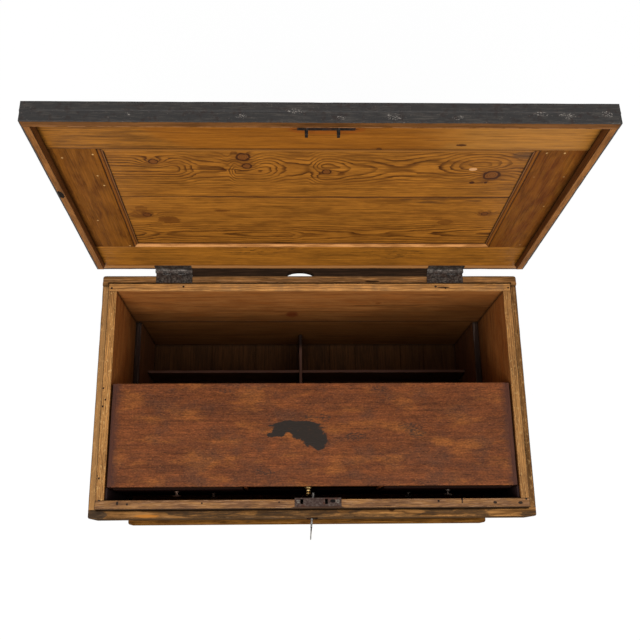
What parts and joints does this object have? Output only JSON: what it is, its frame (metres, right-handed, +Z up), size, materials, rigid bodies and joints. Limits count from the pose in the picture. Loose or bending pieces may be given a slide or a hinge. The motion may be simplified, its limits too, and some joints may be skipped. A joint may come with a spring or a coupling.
{
  "type": "tool chest",
  "caption": "Carpenter's tool chest with hinged panelled lid, dovetailed carcase, sliding till of drawers, divided well, lock with key, and drop handles.",
  "frame": {"origin": "on the ground, under the middle of the carcase", "axes": "+X along the chest to its right end, seen from the front; +Y towards the hinge side; +Z up"},
  "size_m": [0.976, 0.6711, 1.0154],
  "materials": {
    "rim_pine": "old waxed pine, satin, with nail and worm holes",
    "skirt_pine": "golden brown pine with worn dark paint on its edges",
    "inner_pine": "aged pine darkened with dirt, matt",
    "floor_pine": "dusty brown pine, matt",
    "lid_pine": "orange-brown varnished pine with knots, satin",
    "lid_stile_pine": "brown varnished pine, satin",
    "mahogany": "mottled red-brown mahogany, worn polish",
    "drawer_lining": "plain pine, matt",
    "black_paint": "charcoal-black paint, chipped, satin",
    "iron": "dark iron, lightly rusted",
    "steel_screws": "dull steel",
    "key_steel": "worn bright steel",
    "brass": "rubbed brass",
    "drawer_knob_iron": "worn grey metal"
  },
  "bodies": {
    "chest": {"front_board": "rim_pine", "back_board_upper": "inner_pine", "back_board_lower": "inner_pine", "left_end_board": "rim_pine", "right_end_board": "rim_pine", "floor_planks": "floor_pine", "skirt_front": "skirt_pine", "skirt_rear": "rim_pine", "skirt_ends": "skirt_pine", "plinth_front": "skirt_pine", "plinth_rear": "skirt_pine", "plinth_ends": "skirt_pine", "till_ledge_left": "inner_pine", "till_ledge_right": "inner_pine", "well_divider_long": "inner_pine", "well_divider_cross": "inner_pine", "till_stop_strips": "mahogany", "lid_stop_batten": "black_paint", "lock_case": "iron", "lock_selvedge": "iron", "escutcheon": "iron", "hinge_leaves_lower": "iron", "hinge_pins": "iron", "handle_ears": "iron", "carcase_screws": "steel_screws"},
    "lid": {"lid_rail_front": "lid_pine", "lid_rail_rear": "lid_pine", "lid_stile_left": "lid_stile_pine", "lid_stile_right": "lid_stile_pine", "lid_panel_front": "lid_pine", "lid_panel_rear": "lid_pine", "lid_moulding": "lid_stile_pine", "lid_lip_front": "black_paint", "lid_lips_side": "rim_pine", "lid_screws": "steel_screws", "hinge_leaves_upper": "iron", "lock_link_plate": "iron"},
    "till": {"till_top": "mahogany", "till_end_left": "mahogany", "till_end_right": "mahogany", "till_back": "mahogany", "till_shelf": "drawer_lining", "till_bottom": "drawer_lining", "till_partitions": "mahogany"},
    "drawer_left": {"drawer_front_left": "mahogany", "drawer_box_left": "drawer_lining", "drawer_knob_left": "drawer_knob_iron"},
    "drawer_middle": {"drawer_front_middle": "mahogany", "drawer_box_middle": "drawer_lining", "drawer_knob_middle": "brass"},
    "drawer_right": {"drawer_front_right": "mahogany", "drawer_box_right": "drawer_lining", "drawer_knob_right": "drawer_knob_iron"},
    "drawer_lower": {"drawer_front_lower": "mahogany", "drawer_box_lower": "drawer_lining", "drawer_knob_lower": "drawer_knob_iron"},
    "bolt": {"lock_bolt": "iron"},
    "key": {"key": "key_steel"},
    "bail_left": {"handle_bail_left": "iron"},
    "bail_right": {"handle_bail_right": "iron"}
  },
  "joints": [
    {"name": "lid_hinge", "type": "hinge", "parent": "chest", "child": "lid", "pos_m": [0, 0.2863, 0.4543], "axis": [1, 0, 0], "range_deg": [0, 94.5]},
    {"name": "till_slide", "type": "slide", "parent": "chest", "child": "till", "axis": [0, 1, 0], "range_m": [0, 0.216]},
    {"name": "drawer_left_slide", "type": "slide", "parent": "till", "child": "drawer_left", "axis": [0, -1, 0], "range_m": [0, 0.173]},
    {"name": "drawer_middle_slide", "type": "slide", "parent": "till", "child": "drawer_middle", "axis": [0, -1, 0], "range_m": [0, 0.173]},
    {"name": "drawer_right_slide", "type": "slide", "parent": "till", "child": "drawer_right", "axis": [0, -1, 0], "range_m": [0, 0.173]},
    {"name": "drawer_lower_slide", "type": "slide", "parent": "till", "child": "drawer_lower", "axis": [0, -1, 0], "range_m": [0, 0.173]},
    {"name": "key_turn", "type": "hinge", "parent": "chest", "child": "key", "pos_m": [-0.0012, -0.2515, 0.412], "axis": [0.0698, 0.9976, 0], "range_deg": [0, 90]},
    {"name": "bolt_slide", "type": "slide", "parent": "chest", "child": "bolt", "axis": [-1, 0, 0], "range_m": [0, 0.009]},
    {"name": "bail_left_swing", "type": "hinge", "parent": "chest", "child": "bail_left", "pos_m": [-0.479, 0, 0.306], "axis": [0, 1, 0], "range_deg": [-6, 95]},
    {"name": "bail_right_swing", "type": "hinge", "parent": "chest", "child": "bail_right", "pos_m": [0.479, 0, 0.306], "axis": [0, -1, 0], "range_deg": [-6, 95]}
  ],
  "couplings": [
    {"joint": "drawer_left_slide", "follows": "till_slide", "ratio": 0.8},
    {"joint": "drawer_middle_slide", "follows": "till_slide", "ratio": 0.8},
    {"joint": "drawer_right_slide", "follows": "till_slide", "ratio": 0.8},
    {"joint": "drawer_lower_slide", "follows": "till_slide", "ratio": 0.8},
    {"joint": "bolt_slide", "follows": "key_turn", "m_per_rad": 0.005729}
  ]
}
